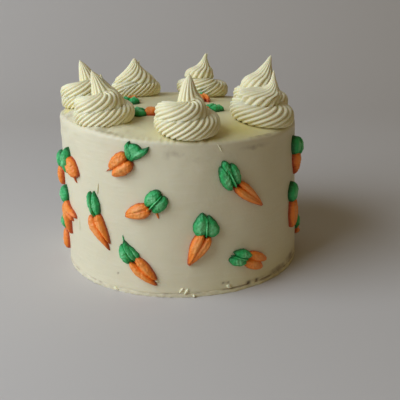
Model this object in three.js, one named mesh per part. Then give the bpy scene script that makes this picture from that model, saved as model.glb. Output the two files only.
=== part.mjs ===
// Carrot cake: a round frosted cake with seven piped swirls round its top and twenty-six small
// piped carrots, each an orange root and a green leaf, on its side and top.
// Millimetres, +Z up. The origin is the centre of the flat bottom and the front faces -Y.
// An angle is measured round the cake from the front, growing towards +X.
import * as THREE from 'three';

// Driving dimensions of the cake body.
const BASE_RADIUS = 78.7;
const TOP_RADIUS = 77.6;
const RIM_HEIGHT = 96.6; // where the side meets the top, on average
const DOME_HEIGHT = 5.5; // how far the middle of the top stands above the rim
const TOP_SLOPE_X = -0.042; // the top was levelled by hand: it falls towards +X
const TOP_SLOPE_Y = -0.012; // and a little towards the back
const LEAN_X = -0.0104; // the whole side leans a little towards -X
const FOOT_WIDTH = 1.1; // frosting that spreads at the bottom edge
const FOOT_HEIGHT = 2.4;
const EDGE_ROUNDING = 2.2; // radius of the top edge
const BODY_SIDES = 44;
const DOME_RINGS = 4;
const GAP = 0.35; // clearance between neighbouring pieces

// Piped carrots. A leaf and a root meet at a joint, and each points away from it.
const ROOT_SIDES = 8;
const ROOT_RINGS = 6;
const LEAF_SIDES = 8;
const LEAF_RINGS = 6;
const JOINT_GAP = 0.5; // between a root and its leaf, along the carrot
const GROOVE_SHARE = 0.62; // height of the groove between two lobes, as a share of the lobes

// Piped swirls.
const SWIRL_RIDGES = 16;
const SWIRL_TWIST = 2.7; // radians that the ridges turn between the foot and the peak
const RIDGE_DEPTH = 0.1; // as a share of a swirl's half width

const degrees = (value) => THREE.MathUtils.degToRad(value);

// The outline of one swirl from the middle of its foot to its peak. Across is a share of the half
// width, up a share of the height, and ridge how much of the ridge depth shows there. The waist
// half-way up is the seam between the wide first turn and the narrower second one.
const SWIRL_OUTLINE = [
  { across: 0, up: 0, ridge: 0 },
  { across: 0.8, up: 0, ridge: 0 },
  { across: 0.94, up: 0.06, ridge: 0.8 },
  { across: 1, up: 0.17, ridge: 1 },
  { across: 0.96, up: 0.31, ridge: 1 },
  { across: 0.84, up: 0.42, ridge: 0.9 },
  { across: 0.7, up: 0.47, ridge: 0.7 },
  { across: 0.72, up: 0.55, ridge: 0.9 },
  { across: 0.62, up: 0.65, ridge: 0.9 },
  { across: 0.42, up: 0.74, ridge: 0.6 },
  { across: 0.24, up: 0.83, ridge: 0.4 },
  { across: 0.12, up: 0.92, ridge: 0.2 },
  { across: 0, up: 1, ridge: 0 },
];

// Angle and ring give a swirl's centre, and the tip how far its peak bends to +X and +Y.
const SWIRLS = [
  { angle: 5, ring: 60.5, width: 39.4, height: 34.5, tip: [2, 0] },
  { angle: 62.8, ring: 59.5, width: 40.8, height: 33, tip: [7.2, 1] },
  { angle: 108, ring: 60, width: 38, height: 36, tip: [7, 2] },
  { angle: 162.2, ring: 59.5, width: 37.7, height: 31, tip: [3, -1] },
  { angle: -149, ring: 59, width: 36.2, height: 27, tip: [0, -2] },
  { angle: -101, ring: 60.5, width: 38, height: 31, tip: [-5.3, 1] },
  { angle: -50, ring: 58.8, width: 37.6, height: 32, tip: [-6.5, 0] },
];

// The carrots on the side. Angle and height place the joint between leaf and root. A turn is
// measured from straight down towards +X, so a leaf at 180 points straight up. Sizes are length,
// width and thickness. The last eight are on the back.
const SIDE_CARROTS = [
  { angle: -84, height: 65, rootTurn: 3, root: [13, 8, 4.5], leafTurn: 182, leaf: [12.5, 9.5, 4.5] },
  { angle: -61.5, height: 76.5, rootTurn: 60, root: [15.5, 12, 4.5], leafTurn: 187, leaf: [11, 8, 4] },
  { angle: -71.5, height: 45.3, rootTurn: 40, root: [21.5, 12, 4.5], leafTurn: 185, leaf: [13, 9.5, 4.5] },
  { angle: -81, height: 23.5, rootTurn: 15, root: [16, 8.5, 4], leafTurn: 180, leaf: [10.5, 8, 4.5] },
  { angle: -41.5, height: 48.5, rootTurn: 17, root: [24, 10.5, 4.5], leafTurn: 190, leaf: [17, 8.8, 4] },
  { angle: -21.5, height: 87.2, rootTurn: -55, root: [20, 13.5, 5], leafTurn: 152, leaf: [13, 12.5, 3.5] },
  { angle: -13.6, height: 57.5, rootTurn: -70, root: [17, 9.5, 4.5], leafTurn: 138, leaf: [13, 13, 4.5] },
  { angle: -22.2, height: 24, rootTurn: 44, root: [21.5, 10.5, 5], leafTurn: 209, leaf: [14.5, 11.5, 4.5] },
  { angle: 10.5, height: 40.5, rootTurn: -31, root: [22.5, 11.5, 5], leafTurn: 178, leaf: [15.5, 15, 4] },
  { angle: 24.7, height: 69.8, rootTurn: 48, root: [27, 9, 4.5], leafTurn: 208, leaf: [18.5, 12.5, 4.5] },
  { angle: 28.9, height: 21.5, rootTurn: 62, root: [17.5, 12, 4.5], leafTurn: 251, leaf: [13.5, 11, 4.5] },
  { angle: 71.5, height: 76, rootTurn: 3, root: [16, 8.5, 5], leafTurn: 178, leaf: [13.5, 12, 5.5] },
  { angle: 66.5, height: 45.5, rootTurn: 0, root: [20, 10.5, 4.5], leafTurn: 181, leaf: [14, 13, 5] },
  { angle: 86, height: 16.3, rootTurn: 50, root: [14, 8, 4], leafTurn: 178, leaf: [10.5, 8.5, 4] },
  { angle: 112, height: 60, rootTurn: -34, root: [21, 9.5, 4.5], leafTurn: 150, leaf: [13, 11.5, 4] },
  { angle: 127, height: 30, rootTurn: 40, root: [19, 10, 4.5], leafTurn: 214, leaf: [13, 11, 4] },
  { angle: 141, height: 75, rootTurn: 24, root: [22, 9, 4.5], leafTurn: 198, leaf: [12.5, 11, 4] },
  { angle: 157, height: 45, rootTurn: -62, root: [20, 10, 4.5], leafTurn: 124, leaf: [13.5, 12, 4] },
  { angle: 178, height: 68, rootTurn: 12, root: [23, 9.5, 4.5], leafTurn: 188, leaf: [13, 12, 4] },
  { angle: -167, height: 31, rootTurn: -24, root: [20, 10, 4.5], leafTurn: 160, leaf: [13, 11, 4] },
  { angle: -141, height: 62, rootTurn: 52, root: [21, 9, 4.5], leafTurn: 226, leaf: [13, 11.5, 4] },
  { angle: -117, height: 34, rootTurn: -14, root: [22, 10, 4.5], leafTurn: 170, leaf: [13, 11, 4] },
];

// The carrots that lie on the top, between the swirls. Place is the joint's position, and a turn
// is measured from -Y towards +X.
const TOP_CARROTS = [
  { place: [-32.5, 13], rootTurn: 178, root: [13, 8, 4], leafTurn: -12, leaf: [11, 13, 4.5] },
  { place: [-22, -24.5], rootTurn: 92, root: [15, 10, 4.5], leafTurn: 280, leaf: [10, 13, 4] },
  { place: [14.5, 30.5], rootTurn: 15, root: [16, 9, 4.5], leafTurn: 198, leaf: [9, 9, 4] },
  { place: [18.5, -12.5], rootTurn: 300, root: [16, 8, 4], leafTurn: 130, leaf: [13, 11, 3.5] },
];

const frosting = new THREE.MeshStandardMaterial({ color: 0xd9cfb4, roughness: 0.55, metalness: 0 });
const swirlFrosting = new THREE.MeshStandardMaterial({ color: 0xdfd5b6, roughness: 0.5, metalness: 0 });
const carrotOrange = new THREE.MeshStandardMaterial({ color: 0xd8743a, roughness: 0.45, metalness: 0 });
const leafGreen = new THREE.MeshStandardMaterial({ color: 0x2f9a5d, roughness: 0.45, metalness: 0 });

// Height of the top surface over a point of the plan.
function topHeight(x, y) {
  const radiusShare = Math.hypot(x, y) / TOP_RADIUS;
  return RIM_HEIGHT + DOME_HEIGHT * (1 - radiusShare ** 2) + TOP_SLOPE_X * x + TOP_SLOPE_Y * y;
}

// Radius of the side at a height, which tapers from the bottom to the rim.
function wallRadius(height) {
  return THREE.MathUtils.mapLinear(height, 0, RIM_HEIGHT, BASE_RADIUS, TOP_RADIUS);
}

// A point off the side, by its angle, its height and its distance out from the frosting.
function besideWall(angle, height, outwards) {
  const radius = wallRadius(height) + outwards;
  return new THREE.Vector3(radius * Math.sin(angle) + LEAN_X * height, -radius * Math.cos(angle), height);
}

// Moves every vertex of a geometry to where the given function puts it.
function reshape(geometry, moved) {
  const position = geometry.getAttribute('position');
  const vertex = new THREE.Vector3();
  for (let index = 0; index < position.count; index += 1) {
    const to = moved(vertex.fromBufferAttribute(position, index), index);
    position.setXYZ(index, to.x, to.y, to.z);
  }
  geometry.computeVertexNormals();
  return geometry;
}

// The body turned from its outline: flat bottom, spreading foot, side, rounded edge, domed top.
function cakeBody() {
  const outline = [new THREE.Vector2(0, 0)];
  outline.push(new THREE.Vector2(BASE_RADIUS + FOOT_WIDTH, 0));
  outline.push(new THREE.Vector2(BASE_RADIUS + FOOT_WIDTH * 0.8, FOOT_HEIGHT * 0.4));
  outline.push(new THREE.Vector2(wallRadius(FOOT_HEIGHT), FOOT_HEIGHT));
  outline.push(new THREE.Vector2(wallRadius(RIM_HEIGHT / 2), RIM_HEIGHT / 2));
  for (const turn of [0, 45]) {
    const inset = EDGE_ROUNDING * (1 - Math.cos(degrees(turn)));
    const drop = EDGE_ROUNDING * (1 - Math.sin(degrees(turn)));
    outline.push(new THREE.Vector2(TOP_RADIUS - inset, RIM_HEIGHT - drop));
  }
  for (let ring = DOME_RINGS; ring >= 0; ring -= 1) {
    const radius = ((TOP_RADIUS - EDGE_ROUNDING) * ring) / DOME_RINGS;
    outline.push(new THREE.Vector2(radius, topHeight(radius, 0) - TOP_SLOPE_X * radius));
  }
  const body = new THREE.LatheGeometry(outline, BODY_SIDES).rotateX(Math.PI / 2);
  return reshape(body, (vertex) => {
    const rise = Math.min(vertex.z / RIM_HEIGHT, 1);
    const height = vertex.z + (TOP_SLOPE_X * vertex.x + TOP_SLOPE_Y * vertex.y) * rise;
    return vertex.set(vertex.x + LEAN_X * height, vertex.y, height);
  });
}

// One swirl, standing on the domed top: a turned outline whose every other column is drawn in,
// and whose columns turn with the height, so that the ridges climb round it.
function pipedSwirl({ angle, ring, width, height, tip }) {
  const centre = new THREE.Vector2(ring * Math.sin(degrees(angle)), -ring * Math.cos(degrees(angle)));
  centre.x += LEAN_X * RIM_HEIGHT;
  const outline = SWIRL_OUTLINE.map(({ across, up }) => new THREE.Vector2((across * width) / 2, up * height));
  const swirl = new THREE.LatheGeometry(outline, SWIRL_RIDGES * 2).rotateX(Math.PI / 2);
  reshape(swirl, (vertex, index) => {
    const { across, up, ridge } = SWIRL_OUTLINE[index % SWIRL_OUTLINE.length];
    const column = Math.floor(index / SWIRL_OUTLINE.length);
    const valley = column % 2 === 1 ? ridge * RIDGE_DEPTH : 0;
    const radius = (Math.max(across - valley, 0) * width) / 2;
    const turned = (Math.PI * column) / SWIRL_RIDGES + SWIRL_TWIST * up;
    vertex.x = radius * Math.sin(turned) + tip[0] * up ** 3;
    vertex.y = -radius * Math.cos(turned) + tip[1] * up ** 3;
    vertex.z += topHeight(centre.x + vertex.x, centre.y + vertex.y) + GAP;
    return vertex;
  });
  return { geometry: swirl, centre };
}

// Half width of a root along its length: full near the leaf, drawn out to a point at the tip.
const rootOutline = (along) => Math.sin(Math.PI * along ** 0.55) ** 0.8;

// Half width of a leaf along its length: narrow at the joint, broad near its end.
const leafOutline = (along) => Math.sin(Math.PI * along ** 1.35) ** 0.75;

// A two-lobed piped blob with a flat back: a sphere drawn out along -Y from the joint. X runs
// across it and Z out of the frosting. The middle of its end is drawn back by the notch.
function pipedBlob([length, width, thickness], sides, rings, outline, notch) {
  const blob = new THREE.SphereGeometry(1, sides, rings);
  return reshape(blob, (vertex) => {
    const along = (1 - vertex.y) / 2;
    const reach = Math.hypot(vertex.x, vertex.z);
    const across = reach > 0.01 ? vertex.x / reach : 0;
    const out = reach > 0.01 ? Math.max(vertex.z / reach, 0) : 0;
    const fullness = outline(THREE.MathUtils.clamp(along, 0.001, 0.999));
    const groove = Math.abs(across) < 0.3 ? GROOVE_SHARE : 1;
    const drawnBack = notch * (1 - Math.abs(across)) * along ** 3;
    vertex.x = (across * fullness * width) / 2;
    vertex.y = -JOINT_GAP - length * (along - drawnBack);
    vertex.z = out ** 0.6 * groove * thickness * fullness ** 0.5;
    return reach > 0.01 ? vertex : vertex.setZ(0);
  });
}

const pipedRoot = (size) => pipedBlob(size, ROOT_SIDES, ROOT_RINGS, rootOutline, 0);
const pipedLeaf = (size) => pipedBlob(size, LEAF_SIDES, LEAF_RINGS, leafOutline, 0.16);

// Bends a blob round the side of the cake, from a joint at the given angle and height.
function bentRoundWall(blob, turn, { angle, height }) {
  blob.rotateZ(degrees(turn));
  return reshape(blob, (vertex) => {
    const at = height + vertex.y;
    return besideWall(degrees(angle) + vertex.x / wallRadius(at), at, GAP + vertex.z);
  });
}

// Lays a blob on the top of the cake, from a joint at the given place.
function laidOnTop(blob, turn, { place }) {
  blob.rotateZ(degrees(turn));
  return reshape(blob, (vertex) => {
    vertex.x += place[0];
    vertex.y += place[1];
    vertex.z += topHeight(vertex.x, vertex.y) + GAP;
    return vertex;
  });
}

const cake = new THREE.Group();

function addPiece(parent, name, geometry, material) {
  const piece = new THREE.Mesh(geometry, material);
  piece.name = name;
  parent.add(piece);
  return piece;
}

// Adds a root and a leaf for each carrot, numbered from 1.
function addCarrots(label, carrots, settled) {
  const group = new THREE.Group();
  carrots.forEach((carrot, index) => {
    const number = String(index + 1).padStart(2, '0');
    const root = settled(pipedRoot(carrot.root), carrot.rootTurn, carrot);
    const leaf = settled(pipedLeaf(carrot.leaf), carrot.leafTurn, carrot);
    addPiece(group, `${label}_root_${number}`, root, carrotOrange);
    addPiece(group, `${label}_leaf_${number}`, leaf, leafGreen);
  });
  cake.add(group);
}

addPiece(cake, 'cake_body', cakeBody(), frosting);

SWIRLS.forEach((swirl, index) => {
  const { geometry, centre } = pipedSwirl(swirl);
  const piece = addPiece(cake, `swirl_${index + 1}`, geometry, swirlFrosting);
  piece.position.set(centre.x, centre.y, 0);
});

addCarrots('side', SIDE_CARROTS, bentRoundWall);
addCarrots('top', TOP_CARROTS, laidOnTop);

export default cake;
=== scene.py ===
"""A round frosted carrot cake: smoothed frosting, seven piped swirls and twenty-six piped carrots.

Metres, +Z up. The origin is the centre of the flat bottom and the front faces -Y. An angle is
measured round the cake from the front, growing towards +X.
"""
import math
from collections import namedtuple

import bpy
from mathutils import Matrix, Vector, noise


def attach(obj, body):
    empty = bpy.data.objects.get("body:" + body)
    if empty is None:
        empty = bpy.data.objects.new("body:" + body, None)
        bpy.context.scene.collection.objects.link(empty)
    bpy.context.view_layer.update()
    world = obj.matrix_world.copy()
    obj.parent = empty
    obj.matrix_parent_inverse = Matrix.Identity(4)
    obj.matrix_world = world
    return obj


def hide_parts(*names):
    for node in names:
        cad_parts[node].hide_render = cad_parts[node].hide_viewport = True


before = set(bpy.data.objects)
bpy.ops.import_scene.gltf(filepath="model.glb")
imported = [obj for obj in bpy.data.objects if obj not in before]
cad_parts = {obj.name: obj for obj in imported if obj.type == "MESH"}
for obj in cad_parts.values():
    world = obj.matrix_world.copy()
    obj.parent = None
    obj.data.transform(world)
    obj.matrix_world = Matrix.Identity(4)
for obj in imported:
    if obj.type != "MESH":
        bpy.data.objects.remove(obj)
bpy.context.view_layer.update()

MM = 0.001
FULL_TURN = 2 * math.pi

# The cake's body.
BASE_RADIUS = 78.7 * MM
TOP_RADIUS = 77.6 * MM
RIM_HEIGHT = 96.6 * MM
DOME_HEIGHT = 5.5 * MM
TOP_SLOPE_X = -0.042  # how fast the top rises towards +X and +Y
TOP_SLOPE_Y = -0.012
LEAN_X = -0.0104  # how fast the cake leans to +X as it rises
FOOT_WIDTH = 1.1 * MM
FOOT_HEIGHT = 2.4 * MM
EDGE_ROUNDING = 2.2 * MM
ROOT_OVERLAP = 0.2 * MM  # how far a root starts before the joint with its leaf
LEAF_OVERLAP = 1.6 * MM

# Each swirl stands on a ring round the top, and its rope of frosting begins at the angle start.
# Twist is how much faster than the rope's own turning its lower ridges climb. Upper is the size of
# a coiled swirl's second turn as a share of the first, and full widens the part that is pulled up.
# A capped swirl has one lying turn, and a ridged cap on it that swings round as it was pulled up.
Swirl = namedtuple("Swirl", "angle ring width height tip start twist upper full cap seed")
Cap = namedtuple("Cap", "radius shift foot swing shoulder")
SWIRLS = [
    Swirl(5, 60.5, 39.4, 34.5, (2, 0), -132, 0.95, 1, 1, None, 1),
    Swirl(62.8, 59.5, 40.8, 33, (7.2, 1), -136, 0.45, 1, 1, Cap(13.4, -2.2, 10, 0.24, 1), 2),
    Swirl(108, 60, 38, 36, (7, 2), -40, 0.45, 1, 1, Cap(12.5, -2, 11, 0.2, 0.25), 3),
    Swirl(162.2, 59.5, 37.7, 31, (3, -1), -30, 0.5, 1, 1, Cap(10.8, -2.6, 12, 0.14, 0.4), 4),
    Swirl(-149, 59, 36.2, 27, (0, -2), -60, 0.8, 1, 1, Cap(15.6, -0.5, 7.5, 0.34, 0), 5),
    Swirl(-101, 60.5, 38, 31, (-5.3, 1), -120, 0.8, 1.08, 1, None, 6),
    Swirl(-50, 58.8, 37.6, 32, (-6.5, 0), -128, 0.9, 1, 1.14, None, 7),
]
# Small second tips beside a swirl's own: swirl number, reach of foot and tip to +X, radius and heights.
SmallTip = namedtuple("SmallTip", "swirl shift tip radius foot height")
SMALL_TIPS = [
    SmallTip(7, 0.4, -1, 3.6, 19, 29.6),
    SmallTip(5, 1.2, 3.4, 3.4, 14, 25.4),
    SmallTip(4, 1.6, 4.6, 1.8, 23, 31.2),
]
SMALL_TIP_SWING = 0.1
SWIRL_RIDGES = 13
RIDGE_DEPTH = 0.15  # as a share of the rope's radius
ROPE_FLATNESS = 0.66  # height of the lying rope as a share of its width
ROPE_SQUARENESS = 2.7  # 2 is an ellipse; the turns press each other flatter
CAP_RIDGES = 15
CAP_RIDGE_DEPTH = 0.13
VALLEY_SOFTNESS = 0.02
SWIRL_SINK = 0.6 * MM  # how far a swirl's foot may reach into the top

# How a rope changes from its start to its end, as (share of the way, share of the size). Where a
# coiled rope is pulled up, its inner side hangs into the turn below and its foot spreads over it.
Rope = namedtuple("Rope", "turns ring size height tilt hang")
COILED_ROPE = Rope(
    1.85,
    [(0, 0.78), (0.06, 1), (0.6, 1), (0.74, 0.74), (0.82, 0.4), (0.875, 0.2), (0.93, 0.03), (1, 0)],
    [(0, 0), (0.025, 0.72), (0.08, 1), (0.5, 0.97), (0.6, 0.93), (0.74, 0.88), (0.875, 0.8),
     (0.92, 0.62), (0.95, 0.47), (0.975, 0.3), (1, 0)],
    [(0, 0.15), (0.06, 0.175), (0.44, 0.18), (0.52, 0.25), (0.6, 0.34), (0.74, 0.41), (0.82, 0.46),
     (0.875, 0.54), (0.92, 0.66), (0.95, 0.76), (0.975, 0.87), (1, 1)],
    [(0, 0), (0.5, 0), (0.6, 0.04), (0.74, 0.18), (0.82, 0.42), (0.875, 0.66), (0.93, 0.92), (1, 1)],
    [(0, 0), (0.7, 0), (0.8, 0.5), (0.87, 1), (0.93, 0.45), (1, 0)],
)
LYING_ROPE = Rope(
    1.3,
    [(0, 0.78), (0.06, 1), (0.85, 1), (1, 0.6)],
    [(0, 0), (0.03, 0.72), (0.1, 1), (0.8, 1), (0.93, 0.75), (1, 0)],
    [(0, 0.15), (0.08, 0.175), (0.7, 0.185), (0.85, 0.23), (1, 0.3)],
    [(0, 0), (1, 0)],
    [(0, 0), (1, 0)],
)
HANG_DEPTH = 0.28
SPREAD_WIDTH = 0.45
SPREAD_DEPTH = 0.12

# From where to where, as shares of the way along, a coiled rope turns into its second turn, and from
# where to where it is pulled up.
SECOND_TURN = (0.42, 0.62)
PULLED_UP = (0.66, 0.84)

# The cap's radius and lean from its foot to its tip, for a plain cone and for one with a shoulder.
CONE_RADIUS = [(0, 0), (0.03, 0.9), (0.08, 1), (0.25, 0.88), (0.45, 0.62), (0.6, 0.42), (0.8, 0.2),
               (0.93, 0.09), (1, 0)]
SHOULDER_RADIUS = [(0, 0), (0.03, 0.9), (0.08, 1), (0.26, 0.99), (0.37, 0.84), (0.43, 0.62), (0.5, 0.36),
                   (0.7, 0.15), (0.87, 0.07), (1, 0)]
CONE_LEAN = [(0, 0), (0.5, 0.4), (1, 1)]
SHOULDER_LEAN = [(0, 0), (0.26, 0.03), (0.5, 0.88), (0.7, 1), (1, 1)]
CAP_STEPS = 150

POINTS_PER_RIDGE = 8
ROPE_STEPS = 230

# One lobe of a piped root or leaf. Side and tip say how far its middle lies from the carrot's axis
# at its start and its end, in half widths. Width, length and thick are shares of the whole piece.
# Fullest under 1 is widest near the joint and over 1 near the end; blunt is lower for a rounder end.
# Before is how far the lobe begins behind the joint, as a share of the length.
Lobe = namedtuple("Lobe", "side tip width length thick fullest blunt before", defaults=[0])

ROOT_SHAPES = {
    "even": [Lobe(-0.44, -0.1, 0.62, 1, 1, 0.62, 0.72), Lobe(0.44, 0.08, 0.62, 0.97, 0.95, 0.6, 0.72)],
    "slender": [Lobe(-0.42, -0.06, 0.6, 0.98, 1, 0.7, 0.66), Lobe(0.44, 0.1, 0.58, 1, 0.92, 0.66, 0.7)],
    "right_short": [Lobe(-0.42, -0.15, 0.6, 1, 1, 0.6, 0.8), Lobe(0.46, 0.42, 0.6, 0.7, 0.95, 0.62, 0.6)],
    "left_short": [Lobe(-0.46, -0.4, 0.6, 0.72, 0.95, 0.62, 0.62), Lobe(0.42, 0.12, 0.6, 1, 1, 0.6, 0.8)],
    "forked": [
        Lobe(-0.8, 0.5, 0.66, 1, 0.95, 0.6, 0.75),
        Lobe(0.5, 0.9, 0.5, 0.84, 0.9, 0.62, 0.75),
        Lobe(0, 0.5, 0.34, 0.7, 0.7, 0.7, 0.7),
    ],
    "split": [
        Lobe(-0.15, -1.2, 0.46, 0.95, 1, 0.66, 0.62),
        Lobe(0.42, 1.75, 0.48, 0.78, 0.9, 0.8, 0.6),
        Lobe(0.15, 0.5, 0.46, 0.72, 0.9, 0.7, 0.7),
    ],
    "club": [Lobe(-0.2, -0.34, 0.62, 1, 0.9, 1.2, 0.5), Lobe(0.26, 0.34, 0.62, 0.97, 1, 1.3, 0.5)],
    "blunt": [Lobe(-0.44, -0.4, 0.6, 0.97, 1, 0.85, 0.45), Lobe(0.44, 0.36, 0.6, 1, 0.95, 0.8, 0.45)],
    "fat_pair": [Lobe(-0.36, -0.36, 0.62, 0.93, 1, 0.85, 0.5), Lobe(0.4, 0.5, 0.56, 1, 0.95, 0.9, 0.5)],
    "blunt_pair": [Lobe(-0.52, -0.14, 0.56, 1, 1, 0.78, 0.62), Lobe(0.5, 0.36, 0.56, 0.88, 0.95, 0.8, 0.5)],
    "stub_tail": [
        Lobe(-0.36, -0.3, 0.6, 0.86, 1, 0.8, 0.5),
        Lobe(0.42, 0.1, 0.6, 0.94, 1.05, 0.9, 0.45),
        Lobe(0, -1, 0.26, 0.96, 0.55, 0.8, 1.1),
    ],
    "oval_tail": [
        Lobe(-0.42, -0.35, 0.6, 0.76, 1, 0.8, 0.55),
        Lobe(0.42, 0.38, 0.58, 0.8, 1, 0.85, 0.5),
        Lobe(0.05, -0.25, 0.26, 1, 0.45, 0.8, 1.3),
    ],
    "oval": [Lobe(-0.34, -0.2, 0.72, 0.96, 0.9, 0.8, 0.62), Lobe(0.34, 0.1, 0.72, 1, 0.95, 0.8, 0.62)],
}
LEAF_SHAPES = {
    "pair": [Lobe(-0.44, -0.48, 0.6, 1, 1, 1.2, 0.6), Lobe(0.44, 0.46, 0.6, 0.96, 0.95, 1.25, 0.6)],
    "slim": [Lobe(-0.3, -0.3, 0.72, 0.92, 0.9, 1.1, 0.6), Lobe(0.34, 0.1, 0.7, 1, 1, 1, 0.64)],
    "beside": [
        Lobe(0.3, 0.05, 0.62, 0.95, 1.45, 1, 0.6, 0.6),
        Lobe(-0.2, -0.1, 0.5, 0.9, 1.2, 1.1, 0.7, 0.4),
    ],
    "wedge": [
        Lobe(0.46, 0.3, 0.64, 1, 1, 0.9, 0.62),
        Lobe(-0.5, -0.22, 0.66, 0.9, 0.95, 0.72, 0.72),
        Lobe(0.02, 0, 0.12, 0.84, 1.05, 1, 0.35),
    ],
    "round": [
        Lobe(-0.44, -0.4, 0.62, 1.08, 1, 1.1, 0.46, -0.12),
        Lobe(0.44, 0.4, 0.62, 1.1, 1, 1.1, 0.46, -0.12),
        Lobe(0, 0, 0.1, 1.04, 1.15, 1, 0.35, -0.1),
    ],
    "kite": [
        Lobe(0.15, 0.75, 0.5, 0.86, 1, 1, 1.1),
        Lobe(-0.25, -1.1, 0.5, 1.08, 0.95, 1, 1.1),
        Lobe(0, -0.1, 0.94, 0.9, 0.88, 1.35, 0.6),
    ],
    "tailed": [
        Lobe(0.36, 0.42, 0.56, 0.94, 1, 1.05, 0.5),
        Lobe(-0.5, -0.42, 0.6, 0.96, 0.95, 0.9, 0.7),
        Lobe(-0.06, -0.1, 0.1, 0.84, 1.15, 1, 0.4),
    ],
    "curled": [
        Lobe(0.66, 0.42, 0.62, 0.9, 1, 1, 0.55),
        Lobe(-0.3, -0.1, 0.34, 1, 1.2, 0.8, 0.6),
        Lobe(-0.66, -0.3, 0.26, 0.8, 0.7, 0.9, 0.6),
        Lobe(0.1, 0.05, 0.12, 0.7, 1.2, 1.2, 0.5),
    ],
    "ruffled": [
        Lobe(0.7, 0.5, 0.54, 0.9, 1, 1, 0.5),
        Lobe(-0.32, -0.5, 0.54, 0.78, 0.95, 1.1, 0.5),
        Lobe(0.25, 0, 0.46, 1, 0.85, 1.8, 0.5),
        Lobe(0.2, 0.1, 0.12, 0.8, 1.15, 1, 0.4),
    ],
    "spread": [
        Lobe(0.5, 0.5, 0.62, 0.92, 1, 1.05, 0.5),
        Lobe(-0.42, -0.4, 0.54, 0.8, 1.15, 1.1, 0.7, 0.25),
        Lobe(0.06, 0.04, 0.12, 0.86, 1.2, 1, 0.4),
    ],
}

# The carrots. Angle and height, or a place on the top, give the joint between leaf and root. A turn
# is measured from straight down, or on the top from straight to the front, towards +X. Sizes are
# length, width and thickness, and rough is how uneven the icing is.
Piped = namedtuple("Piped", "shape turn size rough")
Carrot = namedtuple("Carrot", "joint root leaf")
SIDE_CARROTS = [
    Carrot((-84, 65),
           Piped("blunt", 3, (13, 8, 4.5), 0.4),
           Piped("slim", 182, (12.5, 9.5, 4.5), 0.45)),
    Carrot((-61.5, 76.5),
           Piped("stub_tail", 60, (15.5, 12, 4.5), 0.4),
           Piped("beside", 187, (11, 8, 4), 0.45)),
    Carrot((-71.5, 45.3),
           Piped("split", 40, (21.5, 12, 4.5), 0.4),
           Piped("slim", 185, (13, 9.5, 4.5), 0.45)),
    Carrot((-81, 23.5),
           Piped("club", 15, (16, 8.5, 4), 0.4),
           Piped("slim", 180, (10.5, 8, 4.5), 0.45)),
    Carrot((-41.5, 48.5),
           Piped("forked", 17, (24, 10.5, 4.5), 0.4),
           Piped("tailed", 190, (17, 8.8, 4), 0.45)),
    Carrot((-21.5, 87.2),
           Piped("oval_tail", -55, (20, 13.5, 5), 0.5),
           Piped("kite", 152, (13, 12.5, 3.5), 0.45)),
    Carrot((-13.6, 57.5),
           Piped("oval", -70, (17, 9.5, 4.5), 0.3),
           Piped("round", 138, (13, 13, 4.5), 0.45)),
    Carrot((-22.2, 24),
           Piped("blunt_pair", 44, (21.5, 10.5, 5), 0.4),
           Piped("curled", 209, (14.5, 11.5, 4.5), 0.45)),
    Carrot((10.5, 40.5),
           Piped("slender", -31, (22.5, 11.5, 5), 0.25),
           Piped("wedge", 178, (15.5, 15, 4), 0.45)),
    Carrot((24.7, 69.8),
           Piped("slender", 48, (27, 9, 4.5), 0.2),
           Piped("ruffled", 208, (18.5, 12.5, 4.5), 0.4)),
    Carrot((28.9, 21.5),
           Piped("fat_pair", 62, (17.5, 12, 4.5), 0.25),
           Piped("spread", 251, (13.5, 11, 4.5), 0.45)),
    Carrot((71.5, 76),
           Piped("even", 3, (16, 8.5, 5), 0.4),
           Piped("spread", 178, (13.5, 12, 5.5), 0.35)),
    Carrot((66.5, 45.5),
           Piped("blunt", 0, (20, 10.5, 4.5), 0.4),
           Piped("slim", 181, (14, 13, 5), 0.35)),
    Carrot((86, 16.3),
           Piped("even", 50, (14, 8, 4), 0.4),
           Piped("pair", 178, (10.5, 8.5, 4), 0.45)),
    Carrot((112, 60),
           Piped("right_short", -34, (21, 9.5, 4.5), 0.4),
           Piped("wedge", 150, (13, 11.5, 4), 0.45)),
    Carrot((127, 30),
           Piped("even", 40, (19, 10, 4.5), 0.4),
           Piped("spread", 214, (13, 11, 4), 0.45)),
    Carrot((141, 75),
           Piped("slender", 24, (22, 9, 4.5), 0.35),
           Piped("ruffled", 198, (12.5, 11, 4), 0.45)),
    Carrot((157, 45),
           Piped("oval", -62, (20, 10, 4.5), 0.4),
           Piped("round", 124, (13.5, 12, 4), 0.45)),
    Carrot((178, 68),
           Piped("split", 12, (23, 9.5, 4.5), 0.35),
           Piped("pair", 188, (13, 12, 4), 0.45)),
    Carrot((-167, 31),
           Piped("blunt", -24, (20, 10, 4.5), 0.35),
           Piped("tailed", 160, (13, 11, 4), 0.45)),
    Carrot((-141, 62),
           Piped("left_short", 52, (21, 9, 4.5), 0.4),
           Piped("kite", 226, (13, 11.5, 4), 0.45)),
    Carrot((-117, 34),
           Piped("stub_tail", -14, (22, 10, 4.5), 0.4),
           Piped("spread", 170, (13, 11, 4), 0.45)),
]
TOP_CARROTS = [
    Carrot((-32.5, 13),
           Piped("even", 178, (13, 8, 4), 0.3),
           Piped("pair", -12, (11, 13, 4.5), 0.6)),
    Carrot((-22, -24.5),
           Piped("slender", 92, (15, 10, 4.5), 0.3),
           Piped("pair", 280, (10, 13, 4), 0.4)),
    Carrot((14.5, 30.5),
           Piped("blunt", 15, (16, 9, 4.5), 0.5),
           Piped("pair", 198, (9, 9, 4), 0.4)),
    Carrot((18.5, -12.5),
           Piped("even", 300, (16, 8, 4), 0.3),
           Piped("pair", 130, (13, 11, 3.5), 0.8)),
]

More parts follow.
